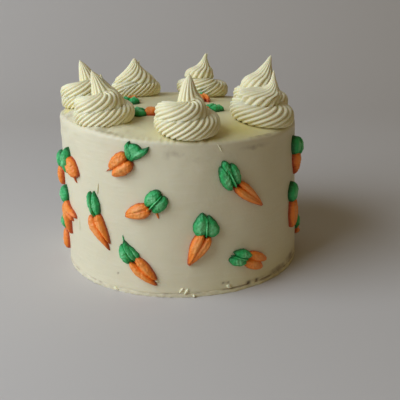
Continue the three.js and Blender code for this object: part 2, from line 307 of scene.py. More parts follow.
# Small torn bits of frosting or of either icing: angle and height, turn, and length, width and thickness.
Bit = namedtuple("Bit", "kind joint turn size")
BITS = [
    Bit("frosting", (-40, 61.5), 170, (7.5, 0.7, 0.7)),
    Bit("leaf", (-26.6, 34), 187, (4.8, 1, 0.9)),
    Bit("root", (-10.9, 55.8), 20, (5, 1.5, 1.2)),
    Bit("root", (-13.8, 58.4), 0, (2.4, 2.4, 5)),
    Bit("frosting", (-55.4, 41), -4, (9.5, 0.8, 0.6)),
    Bit("frosting", (16.7, 95.5), 27, (6, 0.9, 0.8)),
    Bit("frosting", (-12.6, 12.4), 45, (3.2, 1.8, 1.8)),
    Bit("frosting", (-0.2, 6.4), -40, (4, 1.5, 1.1)),
    Bit("frosting", (2, 5.8), -35, (4.6, 1.7, 1.2)),
    Bit("frosting", (4.4, 1.9), 0, (1.8, 1.8, 1.8)),
    Bit("frosting", (-33.5, 2.2), 70, (3.5, 1.4, 1)),
    Bit("frosting", (19.5, 5.2), 60, (4, 2.4, 1)),
]

BIT_LOBE = Lobe(0, 0, 1, 1, 1, 0.8, 0.8)
BIT_ROUGHNESS = 0.15

LOBE_SIDES = 48
LOBE_RINGS = 58
LOBE_SINK = 0.8 * MM  # how far a lobe's flat back lies inside the frosting
LOBE_SEED_STEP = 0.37
PLEAT_TURN = 7  # radians that the wave of the folds turns through in half a lobe's width
PLEAT_DEPTH = 0.04
RUFFLES_PER_METRE = 420
TEARS_PER_METRE = 800
# How far ruffles, bends and tears move the icing, as multiples of its roughness.
RUFFLE_REACH = 3
BEND_REACH = 2
TEAR_REACH = 4.5


# --- Node trees ---


class Value:
    """One output socket, ready for arithmetic: every operation adds its Math node to the tree."""

    def __init__(self, tree, socket):
        self.tree = tree
        self.socket = socket

    def __add__(self, other):
        return self.tree.math("ADD", self, other)

    __radd__ = __add__

    def __sub__(self, other):
        return self.tree.math("SUBTRACT", self, other)

    def __rsub__(self, other):
        return self.tree.math("SUBTRACT", other, self)

    def __mul__(self, other):
        return self.tree.math("MULTIPLY", self, other)

    __rmul__ = __mul__

    def __truediv__(self, other):
        return self.tree.math("DIVIDE", self, other)

    def __rtruediv__(self, other):
        return self.tree.math("DIVIDE", other, self)

    def __pow__(self, other):
        return self.tree.math("POWER", self, other)

    def __neg__(self):
        return self * -1

    def __abs__(self):
        return self.tree.math("ABSOLUTE", self)


class Tree:
    """Adds nodes to one shader or geometry tree."""

    def __init__(self, group):
        self.group = group

    def node(self, kind, settings=None, sockets=None):
        """Adds a node, sets its settings and then its sockets, and returns its outputs as values."""
        made = self.group.nodes.new(kind)
        for name, setting in (settings or {}).items():
            if name == "points":
                set_points(made.mapping, setting)
            else:
                setattr(made, name, setting)
        for key, given in (sockets or {}).items():
            if isinstance(given, Value):
                self.group.links.new(given.socket, made.inputs[key])
            else:
                made.inputs[key].default_value = given
        return [Value(self, socket) for socket in made.outputs]

    def math(self, operation, *terms):
        return self.node("ShaderNodeMath", {"operation": operation}, dict(enumerate(terms)))[0]

    def vector(self, x, y, z):
        return self.node("ShaderNodeCombineXYZ", None, {0: x, 1: y, 2: z})[0]

    def curve(self, value, points):
        """A smooth curve through (place, height) points, both from 0 to 1."""
        return self.node("ShaderNodeFloatCurve", {"points": points}, {1: value})[0]

    def smooth_step(self, value, low, high):
        """0 up to low, 1 from high on, and smooth between them."""
        settings = {"interpolation_type": "SMOOTHSTEP"}
        return self.node("ShaderNodeMapRange", settings, {0: value, 1: low, 2: high})[0]

    def noise(self, vector, scale, detail=2):
        """Smooth noise from 0 to 1, 0.5 on average."""
        return self.node("ShaderNodeTexNoise", None, {"Vector": vector, "Scale": scale, "Detail": detail})[0]

    def stretched(self, vector, scale):
        """The vector times a different scale along each axis."""
        return self.node("ShaderNodeVectorMath", {"operation": "MULTIPLY"}, {0: vector, 1: scale})[0]

    def blend(self, share, first, second):
        """From the first colour to the second one: a Mix node's inputs 6 and 7 and output 2 are colours."""
        sockets = {0: share, 6: first, 7: second}
        return self.node("ShaderNodeMix", {"data_type": "RGBA"}, sockets)[2]


def set_points(mapping, points):
    """Puts a curve node's points in their places and smooths the curve between them."""
    curve = mapping.curves[0]
    while len(curve.points) < len(points):
        curve.points.new(0.5, 0.5)
    for point, place in zip(curve.points, points):
        point.location = place
        point.handle_type = "AUTO_CLAMPED"
    mapping.update()


def sine(value):
    return value.tree.math("SINE", value)


def cosine(value):
    return value.tree.math("COSINE", value)


def at_least(value, floor):
    return value.tree.math("MAXIMUM", value, floor)


# --- The cake's surface, in numbers or in node values ---


def top_height(x, y):
    """Height of the top surface over a point of the plan."""
    radius_share = (x * x + y * y) * (1 / TOP_RADIUS**2)
    return DOME_HEIGHT * (1 - radius_share) + x * TOP_SLOPE_X + y * TOP_SLOPE_Y + RIM_HEIGHT


def wall_radius(height):
    """Radius of the side, which tapers from the bottom to the rim."""
    return height * ((TOP_RADIUS - BASE_RADIUS) / RIM_HEIGHT) + BASE_RADIUS


# --- Shape trees ---


def new_shape_tree(name, sizes):
    """An empty geometry tree with one named number input for each size, and those inputs as values."""
    group = bpy.data.node_groups.new(name, "GeometryNodeTree")
    group.is_modifier = True
    group.interface.new_socket("Geometry", in_out="OUTPUT", socket_type="NodeSocketGeometry")
    for size in sizes:
        group.interface.new_socket(size, in_out="INPUT", socket_type="NodeSocketFloat")
    tree = Tree(group)
    values = tree.node("NodeGroupInput")
    return tree, dict(zip(sizes, values))


def skin_grid(tree, sides, rings):
    """A flat grid to be rolled up, with its places round and along the skin as shares."""
    sockets = {"Size X": 1, "Size Y": 1, "Vertices X": sides + 1, "Vertices Y": rings}
    grid = tree.node("GeometryNodeMeshGrid", None, sockets)[0]
    position = tree.node("GeometryNodeInputPosition")[0]
    across, along, _ = tree.node("ShaderNodeSeparateXYZ", None, {0: position})
    return grid, across + 0.5, along + 0.5


def finish_skin(tree, skin, position, marks, material):
    """Stores the marks, moves the grid to its place, closes its seam and ends the tree."""
    for name, value in marks.items():
        stored = {"Geometry": skin, "Name": name, "Value": value}
        skin = tree.node("GeometryNodeStoreNamedAttribute", {"domain": "POINT"}, stored)[0]
    skin = tree.node("GeometryNodeSetPosition", None, {"Geometry": skin, "Position": position})[0]
    skin = tree.node("GeometryNodeMergeByDistance", None, {"Geometry": skin, "Distance": 1e-7})[0]
    skin = tree.node("GeometryNodeSetShadeSmooth", None, {"Geometry": skin})[0]
    skin = tree.node("GeometryNodeRealizeInstances", None, {"Geometry": skin})[0]
    skin = tree.node("GeometryNodeSetMaterial", None, {"Geometry": skin, "Material": material})[0]
    tree.node("NodeGroupOutput", None, {0: skin})


def ridges_round(tree, tooth, count, along, seed, depth):
    """The star nozzle's ridges as a factor on the radius, and how deep in a valley a place is."""
    tooth_place = tree.vector(cosine(tooth) * 3, sine(tooth) * 3, along * 7 + seed * 5.3)
    uneven = 0.5 + tree.noise(tooth_place, 1.3, 3)
    between = cosine(tooth * (count * 0.5))
    valley = 1 - (between * between + VALLEY_SOFTNESS) ** 0.5
    return 1 - valley * depth * uneven, valley


def rope_tree(name, rope, material):
    """A ridged rope of frosting that lies down in a ring, may climb onto itself and be pulled up."""
    sizes = ["Width", "Height", "Start", "Twist", "Upper", "Full", "Ridge depth", "Lean X", "Lean Y",
             "Centre X", "Centre Y", "Seed"]
    tree, size = new_shape_tree(name, sizes)
    skin, round_share, along = skin_grid(tree, SWIRL_RIDGES * POINTS_PER_RIDGE, ROPE_STEPS)
    tooth = round_share * FULL_TURN
    travel = size["Start"] + along * (rope.turns * FULL_TURN)

    # Unevenness: the hand's, slow along the rope, and each tooth's own.
    hand = tree.noise(tree.vector(along * 9, size["Seed"] * 3.7, 0), 1, 2)
    ridged, valley = ridges_round(tree, tooth, SWIRL_RIDGES, along, size["Seed"], size["Ridge depth"])

    # The rope's half width and the radius of its ring are each a quarter of the swirl's width.
    second_turn = tree.smooth_step(along, *SECOND_TURN)
    pulled_up = tree.smooth_step(along, *PULLED_UP)
    quarter_width = size["Width"] * 0.25
    half_width = quarter_width * tree.curve(along, rope.size) * (0.93 + hand * 0.14)
    half_width = half_width * (1 + pulled_up * (size["Full"] - 1))
    tilt_share = tree.curve(along, rope.tilt)
    half_height = half_width * (ROPE_FLATNESS + tilt_share * (1 - ROPE_FLATNESS))
    ring = quarter_width * tree.curve(along, rope.ring) * (1.06 - hand * 0.12)
    ring = ring * (1 + second_turn * (size["Upper"] - 1))
    middle = size["Height"] * tree.curve(along, rope.height)

    place = tooth - travel + size["Twist"] * FULL_TURN * (1 - along) ** 3
    squareness = ROPE_SQUARENESS - tilt_share * (ROPE_SQUARENESS - 2)
    square = abs(cosine(place)) ** squareness + abs(sine(place)) ** squareness
    ridged = ridged / square ** (1 / squareness)
    hang = tree.curve(along, rope.hang)
    inner = 0.5 - cosine(place) * 0.5
    foot = at_least(cosine(place), 0) * at_least(sine(place), 0) * 2
    side = half_width * (ridged * cosine(place) + hang * foot * SPREAD_WIDTH)
    rise = -half_height * ridged * sine(place)
    tilt = tilt_share * (math.pi / 2)
    reach = ring + side
    back = rise * sine(tilt)
    up = middle + rise * cosine(tilt)
    up = up - size["Height"] * hang * (inner * inner * HANG_DEPTH + foot * SPREAD_DEPTH)
    lean = (up / size["Height"]) ** 3
    x = size["Centre X"] + reach * sine(travel) - back * cosine(travel) + lean * size["Lean X"]
    y = size["Centre Y"] - reach * cosine(travel) - back * sine(travel) + lean * size["Lean Y"]
    z = at_least(up, -SWIRL_SINK) + top_height(x, y)
    finish_skin(tree, skin, tree.vector(x, y, z), {"valley": valley}, material)
    return tree.group


def cap_tree(name, material):
    """A ridged cap of frosting on a lying turn, drawn up to a leaning tip."""
    sizes = ["Radius", "Height", "Foot", "Swing", "Shoulder", "Ridge depth", "Shift", "Tip X", "Tip Y",
             "Centre X", "Centre Y", "Seed"]
    tree, size = new_shape_tree(name, sizes)
    skin, round_share, along = skin_grid(tree, CAP_RIDGES * POINTS_PER_RIDGE, CAP_STEPS)
    tooth = round_share * FULL_TURN
    ridged, valley = ridges_round(tree, tooth, CAP_RIDGES, along, size["Seed"], size["Ridge depth"])
    cone, shoulder = tree.curve(along, CONE_RADIUS), tree.curve(along, SHOULDER_RADIUS)
    radius = size["Radius"] * (cone + size["Shoulder"] * (shoulder - cone)) * ridged
    cone, shoulder = tree.curve(along, CONE_LEAN), tree.curve(along, SHOULDER_LEAN)
    lean = cone + size["Shoulder"] * (shoulder - cone)
    angle = tooth + along * size["Swing"] * FULL_TURN
    lump_place = tree.vector(cosine(angle) * 1.2, sine(angle) * 1.2, along * 3 + size["Seed"] * 2.9)
    radius = radius * (0.9 + tree.noise(lump_place, 1, 2) * 0.2)
    x = size["Centre X"] + size["Shift"] + radius * sine(angle) + lean * (size["Tip X"] - size["Shift"])
    y = size["Centre Y"] - radius * cosine(angle) + lean * size["Tip Y"]
    up = size["Foot"] + along * (size["Height"] - size["Foot"])
    z = up + top_height(x, y)
    finish_skin(tree, skin, tree.vector(x, y, z), {"valley": valley}, material)
    return tree.group


def lobe_tree(name, settle, material):
    """One lobe of a piped root or leaf: a flat-backed, pleated and ruffled drop, settled on the cake."""
    sizes = ["Length", "Width", "Thickness", "Side", "Tip", "Fullest", "Blunt", "Rough", "Overlap",
             "Turn", "Joint 1", "Joint 2", "Seed"]
    tree, size = new_shape_tree(name, sizes)
    skin, round_share, along = skin_grid(tree, LOBE_SIDES, LOBE_RINGS)
    around = round_share * FULL_TURN
    # Rings crowd at both ends, so that the ends are round.
    reach = 0.5 - cosine(along * math.pi) * 0.5
    inside = at_least(sine((reach ** size["Fullest"]) * math.pi), 0)
    fullness = inside ** size["Blunt"]

    # Ruffles across it, folds along it and small torn bits, as a cut piping bag leaves them.
    ruffles_along = reach * size["Length"] * RUFFLES_PER_METRE
    ruffle_place = tree.vector(ruffles_along, size["Seed"] * 7.1, cosine(around) * 1.1)
    ruffle = (tree.noise(ruffle_place, 1, 3) - 0.5) * size["Rough"] * fullness * RUFFLE_REACH
    bend = tree.noise(tree.vector(reach * 1.6, size["Seed"] * 3.3, 0), 1, 2) - 0.5
    pleats = cosine(cosine(around) * PLEAT_TURN + size["Seed"] * 9 + bend * 3)
    half_width = size["Width"] * 0.5 * fullness + ruffle
    axis = size["Side"] + (size["Tip"] - size["Side"]) * tree.smooth_step(reach, 0.2, 1)
    axis = axis + bend * size["Rough"] * fullness * BEND_REACH
    crest = at_least(sine(around), 0) ** 0.85
    across = axis + half_width * cosine(around)
    down = -(reach * size["Length"] - size["Overlap"])
    below = at_least(-sine(around), 0) * LOBE_SINK
    torn_place = tree.vector(across * TEARS_PER_METRE, down * TEARS_PER_METRE, size["Seed"] * 5.7)
    torn = tree.noise(torn_place, 1, 4) - 0.5
    thick = size["Thickness"] * (fullness ** 0.6) * (1 + pleats * PLEAT_DEPTH)
    out = crest * (thick + ruffle * 0.7 + torn * size["Rough"] * fullness * TEAR_REACH) - below

    turned_across = across * cosine(size["Turn"]) - down * sine(size["Turn"])
    turned_up = across * sine(size["Turn"]) + down * cosine(size["Turn"])
    joint = (size["Joint 1"], size["Joint 2"])
    position = settle(tree, joint, turned_across, turned_up, out)
    # The crest mark places the icing's painted shade and painted highlights.
    finish_skin(tree, skin, position, {"crest": crest * fullness + torn * 0.5}, material)
    return tree.group


def on_the_side(tree, joint, across, up, out):
    """Bends a flat place round the side, from a joint given by its angle and height."""
    angle, height = joint
    level = height + up
    radius = wall_radius(level) + out
    round_angle = angle + across / wall_radius(level)
    x = radius * sine(round_angle) + level * LEAN_X
    return tree.vector(x, -radius * cosine(round_angle), level)


def on_the_top(tree, joint, across, up, out):
    """Lays a flat place on the top, from a joint given by its place there."""
    x = joint[0] + across
    y = joint[1] + up
    return tree.vector(x, y, top_height(x, y) + out)


def shaped(group, sizes):
    """The plain mesh that a shape tree makes with these sizes."""
    holder = bpy.data.objects.new("shaping", bpy.data.meshes.new("shaping"))
    bpy.context.scene.collection.objects.link(holder)
    modifier = holder.modifiers.new("shape", "NODES")
    modifier.node_group = group
    for item in group.interface.items_tree:
        if item.name in sizes:
            modifier[item.identifier] = float(sizes[item.name])
    graph = bpy.context.evaluated_depsgraph_get()
    mesh = bpy.data.meshes.new_from_object(
        holder.evaluated_get(graph), preserve_all_data_layers=True, depsgraph=graph
    )
    bpy.data.objects.remove(holder)
    return mesh


# --- Materials ---

FROSTING = (0.80, 0.73, 0.50, 1)
FROSTING_CLOUD = (0.74, 0.66, 0.44, 1)
SCRAPED_STREAK = (0.85, 0.79, 0.60, 1)
# Painted shade: the top has the side's frosting, painted darker and yellower as shade between the swirls.
TOP_PAINTED_SHADE = (0.76, 0.69, 0.36, 1)
# Painted light: a yellow bounce light that brightens a few places on the top, the rim and the foot.
PAINTED_BOUNCE_LIGHT = (1, 0.88, 0.30, 1)
CRUST = (0.30, 0.215, 0.13, 1)
CRUMB = (0.11, 0.06, 0.03, 1)
PIPED_FROSTING = (0.92, 0.86, 0.58, 1)
PIPED_CLOUD = (0.88, 0.80, 0.49, 1)
# Painted shade between a swirl's ridges.
PIPED_VALLEY_SHADE = (0.72, 0.60, 0.24, 1)

# Icing colours: painted shade in the grooves, the icing's own colour between them and painted highlights on
# the crests.
ORANGE_SHADE_TO_HIGHLIGHT = [(0.50, 0.065, 0.007, 1), (0.97, 0.25, 0.02, 1), (1, 0.5, 0.15, 1)]
GREEN_SHADE_TO_HIGHLIGHT = [(0.006, 0.12, 0.026, 1), (0.028, 0.41, 0.105, 1), (0.38, 0.88, 0.42, 1)]

# How far light goes into the frosting, at the most and as shares for red, green and blue.
LIGHT_DEPTH = 2.5 * MM
LIGHT_SHARES = (1, 0.7, 0.4)

# How high the fine relief of each finish stands.
SCRAPED_RELIEF = 0.5 * MM
PIPED_RELIEF = 0.12 * MM
ICING_RELIEF = 0.4 * MM


def icing(name, paint, subsurface, gloss):
    """A soft, slightly glossy icing. Paint gives its colour, roughness and relief as values."""
    material = bpy.data.materials.new(name)
    material.use_nodes = True
    material.node_tree.nodes.clear()
    tree = Tree(material.node_tree)
    place = tree.node("ShaderNodeTexCoord")[3]  # the piece's own coordinates
    colour, roughness, relief, relief_height = paint(tree, place)
    bump = tree.node("ShaderNodeBump", None, {"Strength": 1, "Distance": relief_height, "Height": relief})[0]
    surface = tree.node("ShaderNodeBsdfPrincipled", None, {
        "Base Color": colour,
        "Roughness": roughness,
        "Normal": bump,
        "Specular IOR Level": gloss,
        "Subsurface Weight": subsurface,
        "Subsurface Radius": LIGHT_SHARES,
        "Subsurface Scale": LIGHT_DEPTH,
    })[0]
    tree.node("ShaderNodeOutputMaterial", None, {"Surface": surface})
    return material


def mark(tree, name):
    """A mark that the shape's maker left on the mesh, as a value."""
    return tree.node("ShaderNodeAttribute", {"attribute_name": name})[2]


def paint_body(tree, place):
    """Scraped cream cheese frosting, with crumb showing where it was scraped thin, painted shade in the
    crust colour along the seam and on the foot, a darker and yellower painted shade on the top, and painted
    yellow bounce light in a few places.
    """
    cloud = tree.noise(place, scale=28, detail=3)
    fine = tree.noise(place, scale=420, detail=4)
    streaks = tree.noise(tree.stretched(place, (1, 1, 7)), scale=60, detail=4)
    patchy = 0.45 + tree.noise(place, scale=210, detail=4) * 1.1
    crust_and_seam_shade = tree.smooth_step(mark(tree, "thin") * patchy, low=0.35, high=0.9)
    top = mark(tree, "top")
    colour = tree.blend(cloud, FROSTING, FROSTING_CLOUD)
    colour = tree.blend(tree.smooth_step(streaks, low=0.5, high=0.75) * 0.2, colour, SCRAPED_STREAK)
    # Painted shade on the top, where the top mark is.
    colour = tree.blend(top * 0.7, colour, TOP_PAINTED_SHADE)
    # Painted yellow bounce light.
    colour = tree.blend(mark(tree, "butter") * 0.8, colour, PAINTED_BOUNCE_LIGHT)
    # Crust showing through thin frosting, and painted shade in the crust colour along the seam and on the
    # foot.
    colour = tree.blend(crust_and_seam_shade * 0.75, colour, CRUST)
    colour = tree.blend(mark(tree, "crumb"), colour, CRUMB)
    roughness = 0.5 + (streaks - 0.5) * 0.3
    relief = streaks * 0.35 + fine * 0.25 + cloud
    return colour, roughness, relief, SCRAPED_RELIEF


def paint_swirl(tree, place):
    """Piped frosting, with painted yellow-brown shade in the valleys between its ridges."""
    cloud = tree.noise(place, scale=60, detail=3)
    fine = tree.noise(place, scale=700, detail=3)
    valley = mark(tree, "valley")
    colour = tree.blend(cloud, PIPED_FROSTING, PIPED_CLOUD)
    # Painted shade in the valleys.
    colour = tree.blend(tree.smooth_step(valley, low=0.2, high=0.95) * 0.6, colour, PIPED_VALLEY_SHADE)
    roughness = 0.42 + cloud * 0.15
    return colour, roughness, fine, PIPED_RELIEF


def paint_icing(tree, place, deep, middle, light):
    """Piped icing, with painted shade in its grooves and painted highlights on its crests."""
    cloud = tree.noise(place, scale=230, detail=3)
    fine = tree.noise(place, scale=900, detail=3)
    crest = mark(tree, "crest") + (cloud - 0.5) * 0.5
    # Painted shade in the grooves, then painted highlights on the crests.
    colour = tree.blend(tree.smooth_step(crest, low=0.1, high=0.6), deep, middle)
    colour = tree.blend(tree.smooth_step(crest, low=0.65, high=1.2) * 0.6, colour, light)
    roughness = 0.36 + cloud * 0.2
    relief = fine + cloud * 2
    return colour, roughness, relief, ICING_RELIEF


def paint_root(tree, place):
    """Orange icing."""
    return paint_icing(tree, place, *ORANGE_SHADE_TO_HIGHLIGHT)


def paint_leaf(tree, place):
    """Green icing."""
    return paint_icing(tree, place, *GREEN_SHADE_TO_HIGHLIGHT)


body_frosting = icing("scraped_frosting", paint_body, subsurface=0.2, gloss=0.4)
swirl_frosting = icing("piped_frosting", paint_swirl, subsurface=0.3, gloss=0.4)
carrot_icing = icing("orange_icing", paint_root, subsurface=0.1, gloss=0.5)
leaf_icing = icing("green_icing", paint_leaf, subsurface=0.1, gloss=0.4)


# --- Putting pieces on the cake ---


def add_piece(name, mesh, slot, *nodes):
    """Puts a finished mesh on the cake, in place of the frame's nodes."""
    piece = bpy.data.objects.new(name, mesh)
    bpy.context.scene.collection.objects.link(piece)
    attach(piece, "root")
    if nodes:
        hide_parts(*nodes)


def joined(name, meshes):
    """One mesh of several, which share their materials."""
    holders = [bpy.data.objects.new(name, mesh) for mesh in meshes]
    for holder in holders:
        bpy.context.scene.collection.objects.link(holder)
    with bpy.context.temp_override(active_object=holders[0], selected_editable_objects=holders):
        bpy.ops.object.join()
    mesh = holders[0].data
    bpy.data.objects.remove(holders[0])
    return mesh


# --- The frosted body ---

# Rows of the body's skin, from the middle of the bottom up to the middle of the top.
BODY_SIDES = 420
FOOT_ROWS = 6
WALL_ROWS = 104
EDGE_ROWS = 12
TOP_ROWS = 46
ROW_CROWDING = 0.1

# Places where the frosting differs, or where light or shade is painted on it: the angle of the middle and
# how far the place spreads round from it, then the middle and the reach the other way, as a height on the
# side or a radius on the top.
Place = namedtuple("Place", "angle spread middle reach", defaults=[0, 1])
PUSHED_RIM = Place(-58, 28)
PUSHED_WALL = Place(-70, 28, RIM_HEIGHT, 12 * MM)
PUSHED_TOP = Place(-58, 28, 64 * MM, 8.5 * MM)
SCRAPED_RIM = Place(4, 13)
WIDE_FOOT = Place(45, 30)
# Where the seam's painted shade is darkest.
DARKEST_SEAM = Place(48, 30)
# Places lit by a painted yellow bounce light.
BOUNCE_LIT_TOP = Place(33, 16, 62 * MM, 13 * MM)
BOUNCE_LIT_RIM = Place(-81, 5, 72 * MM, 4 * MM)
BOUNCE_LIT_FOOT = Place(40, 26, 0, 17 * MM)
FOOT_BOUNCE_SHARE = 0.3  # as a share of the top's

# How far the hand that smoothed it left the frosting uneven.
BROAD_WAVE = 0.55 * MM
FINE_WAVE = 0.16 * MM
PUSHED_WAVE = 0.9 * MM
TOP_SWELL = 0.35 * MM
PUSHED_HUMP = 5.2 * MM
SMEAR_DEPTH = 3 * MM
SMEAR_REACH = 17 * MM
SMEAR_STRENGTH = 1.5
RIM_BLEND = 2.5 * MM  # how far the lip reaches in over the top

# How far the foot spreads over the board, as shares of its plain width.
PLAIN_SPREAD = 0.15
UNEVEN_SPREAD = 0.35
WIDE_SPREAD = 0.5  # added in its widest place
LEAST_SPREAD = 0.1
MOST_SPREAD = 1.3

# The lip's height where it was pushed up, its folds, its fine roughness, and its ragged height all
# round and what the two places add to that.
LIP_HEIGHT = 1.6 * MM
LIP_FOLDS = 1.8 * MM
LIP_ROUGHNESS = 0.6 * MM
RAGGED_HEIGHT = 0.35 * MM
RAGGED_PUSHED = 1.2 * MM
RAGGED_SCRAPED = 1.4 * MM
LIP_OVERHANG = 0.12  # as a share of its height

# Where the frosting was scraped thin: angle, height, half width and half height, and how thin.
Patch = namedtuple("Patch", "angle height wide high thin")
THIN_PATCHES = [
    Patch(-3, 90, 9, 6, 0.55),
    Patch(8, 86, 10, 5, 0.45),
    Patch(22, 88, 14, 4.5, 0.45),
    Patch(36, 91, 14, 3, 0.6),
    Patch(44, 97, 16, 1.6, 0.75),
    Patch(52, 3.5, 9, 3.4, 0.9),
    Patch(66, 5, 9, 4.5, 0.8),
    Patch(36, 4, 10, 2, 0.6),
    Patch(140, 90, 16, 3, 0.5),
    Patch(-150, 5, 12, 2.5, 0.5),
]
THIN_DEPTH = 0.45 * MM
# The seam and the foot count as thin too: they sink a little and take the crust colour as painted shade.
SEAM_SHADE_AND_GROOVE = 0.9
SEAM_SHADE_REACH = 0.8 * MM
FOOT_SHADE = 0.45

# Crumbs pulled out of the cake: angle, height and radius.
CRUMB_PITS = [(31.3, 3.1, 1.5), (35.9, 3.4, 1.1), (18.3, 7, 0.7), (20.3, 6.8, 0.7), (-30.7, 12, 0.5)]
PIT_DEPTH = 0.6  # as a share of its radius


def falloff(distance):
    """A smooth bump: 1 in the middle, nearly 0 from a distance of 2 on."""
    return math.exp(-distance * distance)


def angle_between(first, second):
    """Difference of two angles in degrees, between -180 and 180."""
    return (first - second + 180) % 360 - 180


def nearness(place, degrees_round):
    """1 at the angle of a place's middle, nearly 0 well outside it."""
    return falloff(angle_between(degrees_round, place.angle) / place.spread)


def nearness_both_ways(place, degrees_round, across):
    """1 in the middle of a place, nearly 0 well outside it, by the angle and by the height or radius."""
    return nearness(place, degrees_round) * falloff((across - place.middle) / place.reach)


def smear_share(degrees_round):
    """How strongly the top was smeared at an angle, from 0 to 1."""
    return min(nearness(PUSHED_RIM, degrees_round) * SMEAR_STRENGTH, 1)


def body_rows():
    """The outline's rows as (radius, height, part), the top's heights being above the rim."""
    rows = [(0, 0, "bottom"), (BASE_RADIUS * 0.5, 0, "bottom"), (BASE_RADIUS, 0, "bottom")]
    for row in range(FOOT_ROWS + 1):
        turn = math.pi / 2 * row / FOOT_ROWS
        height = FOOT_HEIGHT * math.sin(turn)
        rows.append((wall_radius(height) + FOOT_WIDTH * math.cos(turn), height, "foot"))
    wall_top = RIM_HEIGHT - EDGE_ROUNDING
    for row in range(1, WALL_ROWS):
        # Rows crowd near the foot and the rim, where the detail is.
        share = row / WALL_ROWS
        crowded = share - ROW_CROWDING * math.sin(FULL_TURN * share)
        height = FOOT_HEIGHT + (wall_top - FOOT_HEIGHT) * crowded
        rows.append((wall_radius(height), height, "wall"))
    for row in range(EDGE_ROWS + 1):
        turn = math.pi / 2 * row / EDGE_ROWS
        radius = TOP_RADIUS - EDGE_ROUNDING * (1 - math.cos(turn))
        rows.append((radius, wall_top + EDGE_ROUNDING * math.sin(turn), "edge"))
    for row in range(TOP_ROWS - 1, -1, -1):
        rows.append(((TOP_RADIUS - EDGE_ROUNDING) * row / TOP_ROWS, RIM_HEIGHT, "top"))
    return rows


def wall_wave(side, spot, degrees_round, height):
    """How far the side stands out unevenly, most of all below the pushed rim."""
    broad = noise.noise(Vector((side.x * 2.2, side.y * 2.2, height * 22)))
    fine = noise.noise(Vector((side.x * 7, side.y * 7, height * 120)))
    pushed = nearness_both_ways(PUSHED_WALL, degrees_round, height) * noise.noise(spot * 150)
    return broad * BROAD_WAVE + fine * FINE_WAVE + pushed * PUSHED_WAVE


def top_relief(spot, degrees_round, radius, smear):
    """How far the top stands above the rim: its dome, its unevenness and the lip at its edge."""
    share = radius / TOP_RADIUS
    dome = DOME_HEIGHT * (1 - share * share)
    torn = noise.noise(spot * 110) + 0.5 * noise.noise(spot * 300)
    swell = noise.noise(spot * 55) * TOP_SWELL + smear * torn * SMEAR_DEPTH
    swell += nearness_both_ways(PUSHED_TOP, degrees_round, radius) * PUSHED_HUMP
    at_rim = falloff((TOP_RADIUS - EDGE_ROUNDING - radius) / RIM_BLEND)
    return dome + swell * (1 - at_rim ** 4) + rim_lip(degrees_round) * at_rim


def rim_noise(degrees_round, per_degree, seed):
    """Smooth noise from -1 to 1 along the rim."""
    return noise.noise(Vector((degrees_round * per_degree, seed, 0)))


def rim_lip(degrees_round):
    """How far the scraped lip stands up from the rim at an angle."""
    folds = rim_noise(degrees_round, per_degree=0.16, seed=7.7)
    ragged = rim_noise(degrees_round, per_degree=0.55, seed=4.2)
    fine = rim_noise(degrees_round, per_degree=1.7, seed=1.3)
    pushed = nearness(PUSHED_RIM, degrees_round)
    scraped = nearness(SCRAPED_RIM, degrees_round)
    ragged_height = RAGGED_HEIGHT + RAGGED_PUSHED * pushed + RAGGED_SCRAPED * scraped
    lip = max(ragged + 0.1, 0) * ragged_height + (LIP_HEIGHT + folds * LIP_FOLDS) * pushed
    return lip + fine * LIP_ROUGHNESS * (pushed + scraped)


def foot_radius(side, degrees_round, radius, height):
    """The foot's radius where the frosting spread out over the board, more in some places."""
    spread = PLAIN_SPREAD + UNEVEN_SPREAD * (noise.noise(side * 9) + noise.noise(side * 31))
    spread += WIDE_SPREAD * nearness(WIDE_FOOT, degrees_round)
    inner_radius = wall_radius(height)
    return inner_radius + (radius - inner_radius) * max(min(spread, MOST_SPREAD), LEAST_SPREAD)


def seam_groove_and_shade(side, degrees_round):
    """How dark and sunken the seam is where the side meets the foot, most of all at the front right: a
    shallow groove with painted shade in the crust colour along it.
    """
    crust_and_seam_shade = 0.5 + noise.noise(side * 6) + 0.5 * noise.noise(side * 23)
    return min(max(crust_and_seam_shade + 0.2, 0), 1) * (0.75 + 0.5 * nearness(DARKEST_SEAM, degrees_round))


def thinness(side, degrees_round, height):
    """How thin the frosting is on the side, from 0 to about 1. Along the seam and on the foot it stands for
    painted shade, which darkens them with the crust colour.
    """
    thin = SEAM_SHADE_AND_GROOVE * seam_groove_and_shade(side, degrees_round) * falloff((height - FOOT_HEIGHT) / SEAM_SHADE_REACH)
    for patch in THIN_PATCHES:
        across = angle_between(degrees_round, patch.angle) / patch.wide
        over = (height / MM - patch.height) / patch.high
        thin = max(thin, patch.thin * falloff(math.hypot(across, over) * 0.9))
    if height < FOOT_HEIGHT:
        thin = max(thin, FOOT_SHADE)
    return thin


def crumb_pits(degrees_round, height):
    """How deep the pits are at a place on the side, and how much crumb shows there."""
    mm_round = math.radians(1) * wall_radius(height) / MM
    depth = 0.0
    crumb = 0.0
    for pit_angle, pit_height, pit_radius in CRUMB_PITS:
        across = angle_between(degrees_round, pit_angle) * mm_round
        share = falloff(math.hypot(across, height / MM - pit_height) / pit_radius)
        depth += share * pit_radius * MM * PIT_DEPTH
        crumb = max(crumb, share)
    return depth, crumb


